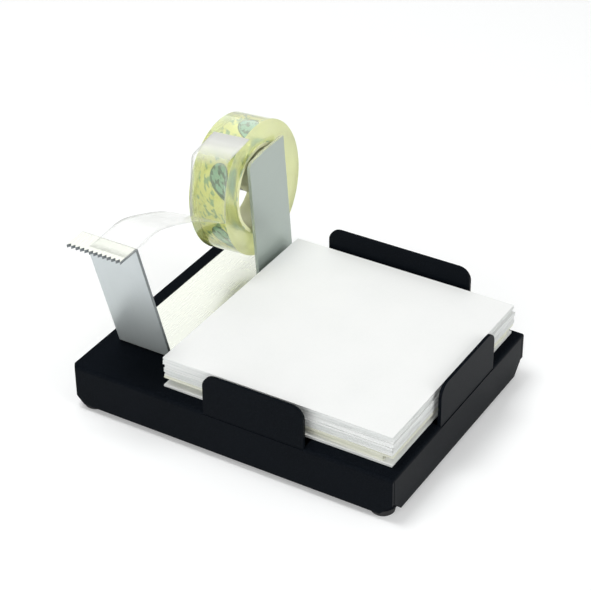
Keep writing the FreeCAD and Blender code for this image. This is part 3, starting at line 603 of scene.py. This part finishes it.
def film_finish():
    """One clear layer: nearly unseen face on, a grey veil at a slant and along its edges, the
    left one most, and a painted white highlight where it starts on the roll."""
    finish = Finish("film", IOR=1.45)
    spots = finish.add("UVMap", {"uv_map": "pattern"}).outputs[0]
    axes = finish.add("SeparateXYZ", Vector=spots)
    across, along = axes.outputs["X"], axes.outputs["Y"]
    off = finish.calc("ABSOLUTE", finish.calc("SUBTRACT", across, 0.5))
    far = finish.calc("MULTIPLY", finish.between(across, 1.0, 0.15),
                      finish.between(along, 1.0, 0.0, *LIP_FADE))
    edge = finish.calc("MULTIPLY", far, finish.between(off, 0.0, 0.60, 0.38, 0.5))
    slant = finish.add("LayerWeight", Blend=0.5).outputs["Facing"]
    veil = finish.between(slant, 0.0, 0.45, 0.45, 1.0)
    # Painted highlight: the start of the loose end on the roll is painted opaque milky white,
    # standing in for a lamp's reflection.
    painted_highlight = finish.between(along, 0.85, 0.0, *FLAP_HIGHLIGHT_FADE)
    streak = finish.noise(finish.place(), 5 * MM, 2.0)
    clear, dim = colour(0.90, 0.92, 0.88), colour(0.36, 0.38, 0.33)
    highlight_white = colour(0.96, 0.97, 0.93)
    grey = finish.mix(finish.calc("MAXIMUM", edge, veil), clear, dim)
    finish.set("Base Color", finish.mix(painted_highlight, grey, highlight_white))
    haze = finish.calc("MULTIPLY", finish.calc("ADD", veil, edge),
                       finish.between(streak, 0.7, 1.2))
    finish.set("Alpha", finish.calc("MAXIMUM", haze, painted_highlight))
    finish.set("Roughness", finish.between(streak, 0.04, 0.14))
    return finish.material


def make_film():
    """The loose end as one thin sheet, cupped a little across its width."""
    low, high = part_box("tape_film")
    centre = roll_frame()[0]
    middle, half = (low.x + high.x) / 2 - centre.x, (high.x - low.x) / 2
    points, spots, faces = [], [], []
    for column in range(FILM_COLUMNS + 1):
        share = column / FILM_COLUMNS
        line = film_line(middle + (2 * share - 1) * half)
        runs = [0.0]
        for start, end in zip(line, line[1:]):
            runs.append(runs[-1] + (end - start).length)
        for point, run in zip(line, runs):
            along = run / runs[-1]
            free = math.sin(math.pi * along)
            cup = FILM_CUP * free * (1 - (2 * share - 1) ** 2)
            points.append(point + Vector((0.0, 0.0, cup)))
            spots.append((share, along))
    rows = len(points) // (FILM_COLUMNS + 1)
    for column in range(FILM_COLUMNS):
        for row in range(rows - 1):
            first = column * rows + row
            faces.append((first, first + 1, first + rows + 1, first + rows))
    film = new_piece("loose_tape", points, faces, film_finish(),
                     [spots[corner] for face in faces for corner in face])
    sheet = film.modifiers.new("sheet", "SOLIDIFY")
    sheet.thickness, sheet.offset = FILM_SHEET, 0.0
    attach(film, "tray")
    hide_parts("tape_film")


def add_camera():
    data = bpy.data.cameras.new("camera")
    data.lens = CAMERA_LENS
    data.clip_start, data.clip_end = CAMERA_RANGE
    camera = bpy.data.objects.new("camera", data)
    turn, tilt, roll = (math.radians(angle) for angle in
                        (CAMERA_TURN, 90.0 - CAMERA_DOWN, CAMERA_ROLL))
    aim = Matrix.Rotation(turn, 4, "Z") @ Matrix.Rotation(tilt, 4, "X")
    aim = aim @ Matrix.Rotation(roll, 4, "Z")
    camera.matrix_world = Matrix.Translation(CAMERA_PLACE) @ aim
    bpy.context.collection.objects.link(camera)
    bpy.context.scene.camera = camera


def add_lamp(name, way, distance, size, power):
    data = bpy.data.lights.new(name, "AREA")
    data.size, data.energy = size, power
    lamp = bpy.data.objects.new(name, data)
    lamp.location = OBJECT_MIDDLE + Vector(way).normalized() * distance
    lamp.rotation_euler = Vector(way).to_track_quat("Z", "Y").to_euler()
    bpy.context.collection.objects.link(lamp)


def seen_directly(tree):
    """1 for the rays that meet a surface from the camera, gloss or glass."""
    path = tree.nodes.new("ShaderNodeLightPath")
    share = path.outputs["Is Camera Ray"]
    for ray in ("Is Glossy Ray", "Is Transmission Ray"):
        either = tree.nodes.new("ShaderNodeMath")
        either.operation = "MAXIMUM"
        tree.links.new(share, either.inputs[0])
        tree.links.new(path.outputs[ray], either.inputs[1])
        share = either.outputs[0]
    return share


def add_world():
    """Even pale light, white where it is seen directly."""
    world = bpy.data.worlds.new("studio")
    world.use_nodes = True
    bpy.context.scene.world = world
    tree = world.node_tree
    level = tree.nodes.new("ShaderNodeMapRange")
    tree.links.new(seen_directly(tree), level.inputs["Value"])
    level.inputs["To Min"].default_value = WORLD_LEVEL
    level.inputs["To Max"].default_value = 1.0
    background = tree.nodes["Background"]
    background.inputs["Color"].default_value = colour(1.0, 1.0, 1.0)
    tree.links.new(level.outputs[0], background.inputs["Strength"])


def add_floor():
    half = FLOOR_SIZE / 2
    mesh = bpy.data.meshes.new("floor")
    mesh.from_pydata([(-half, -half, 0), (half, -half, 0), (half, half, 0), (-half, half, 0)],
                     [], [(0, 1, 2, 3)])
    floor = bpy.data.objects.new("floor", mesh)
    bpy.context.collection.objects.link(floor)
    finish = Finish("floor", Base_Color=colour(0.82, 0.83, 0.83), Roughness=0.9,
                    Specular_IOR_Level=0.1, Emission_Color=colour(1.0, 1.0, 1.0))
    glow = finish.calc("MULTIPLY", seen_directly(finish.tree), FLOOR_GLOW)
    finish.set("Emission Strength", glow)
    mesh.materials.append(finish.material)


def add_studio():
    add_camera()
    for name, lamp in LAMPS.items():
        add_lamp(name, *lamp)
    add_world()
    add_floor()
    bpy.context.scene.view_settings.view_transform = "Standard"


add_studio()
paint_nodes()
make_paper()
make_roll()
make_film()
